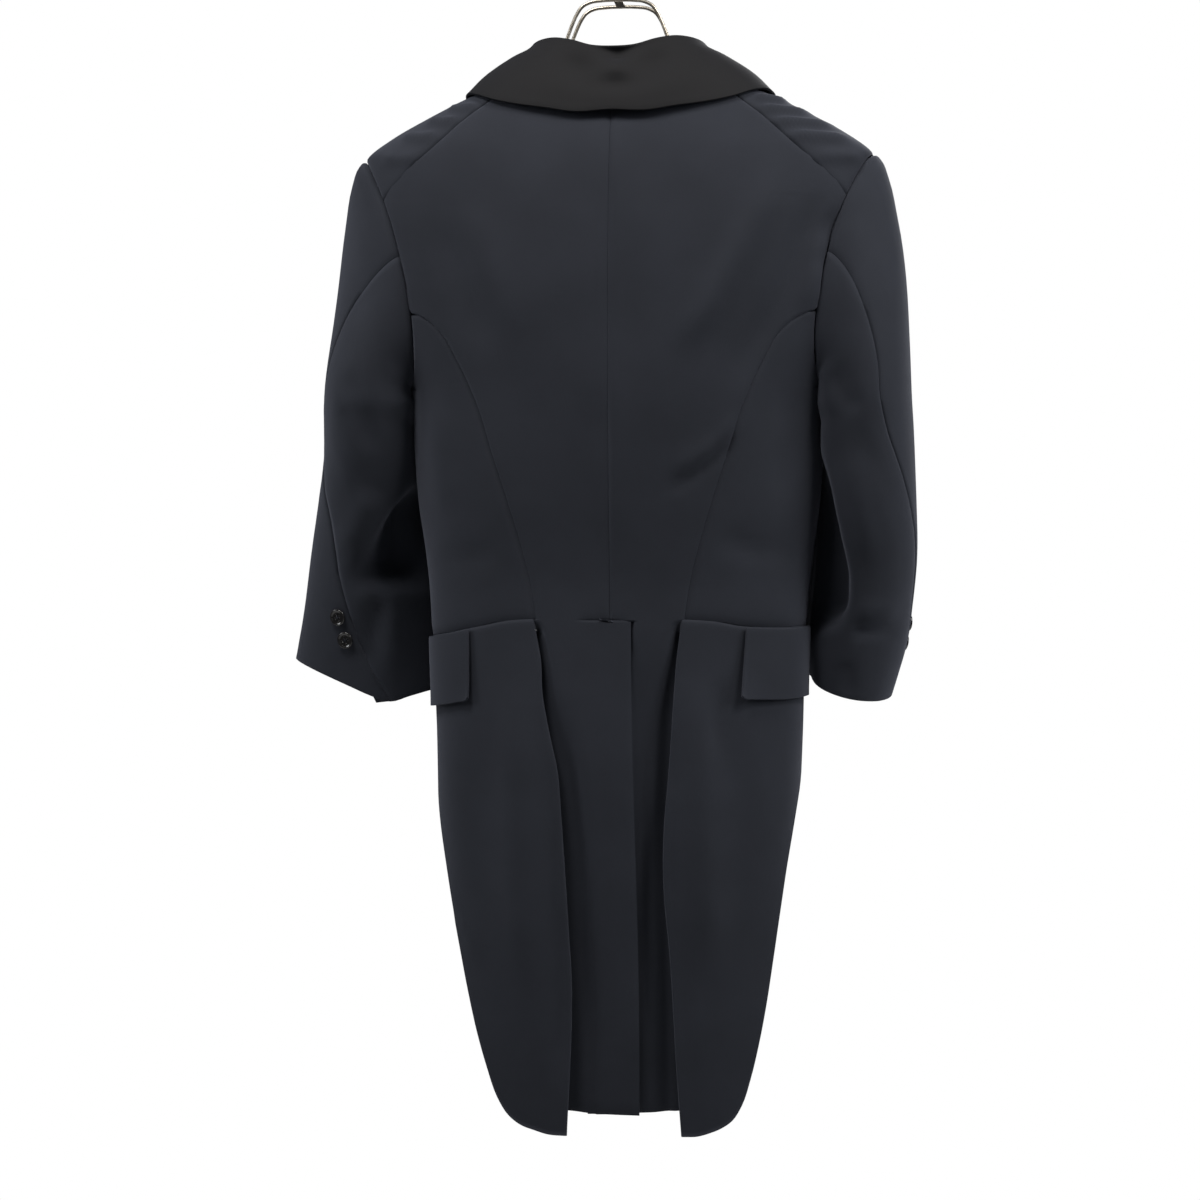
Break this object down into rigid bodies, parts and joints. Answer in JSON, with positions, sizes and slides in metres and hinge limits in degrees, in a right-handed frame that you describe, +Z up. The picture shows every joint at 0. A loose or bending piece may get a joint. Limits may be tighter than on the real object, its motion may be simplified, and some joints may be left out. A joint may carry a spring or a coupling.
{
  "type": "evening tailcoat on a hanger",
  "caption": "Dark evening tailcoat with a shawl collar, three-quarter sleeves and two tails, hung from a bent-steel hanger.",
  "frame": {"origin": "hang point, under the middle of the top of the hanger's loop", "axes": "+Z up, +Y towards the wearer's front, so the back faces -Y; +X towards the wearer's right side"},
  "size_m": [0.5586, 0.2112, 0.9855],
  "materials": {
    "wool cloth": "matte",
    "collar cloth": "matte",
    "button resin": "gloss",
    "hanger steel": "polished"
  },
  "bodies": {
    "root": {"back_left": "wool cloth", "back_right": "wool cloth", "side_body_left": "wool cloth", "side_body_right": "wool cloth", "front_left": "wool cloth", "front_right": "wool cloth", "skirt_left": "wool cloth", "skirt_right": "wool cloth", "flap_left": "wool cloth", "flap_right": "wool cloth", "sleeve_top_left": "wool cloth", "sleeve_top_right": "wool cloth", "sleeve_under_left": "wool cloth", "sleeve_under_right": "wool cloth", "collar": "collar cloth", "lapel_left": "collar cloth", "lapel_right": "collar cloth", "cuff_button_left_1": "button resin", "cuff_button_left_2": "button resin", "cuff_button_right_1": "button resin", "cuff_button_right_2": "button resin", "front_button": "button resin", "hanger_rod": "hanger steel", "hanger_spacer": "hanger steel"}
  },
  "joints": []
}
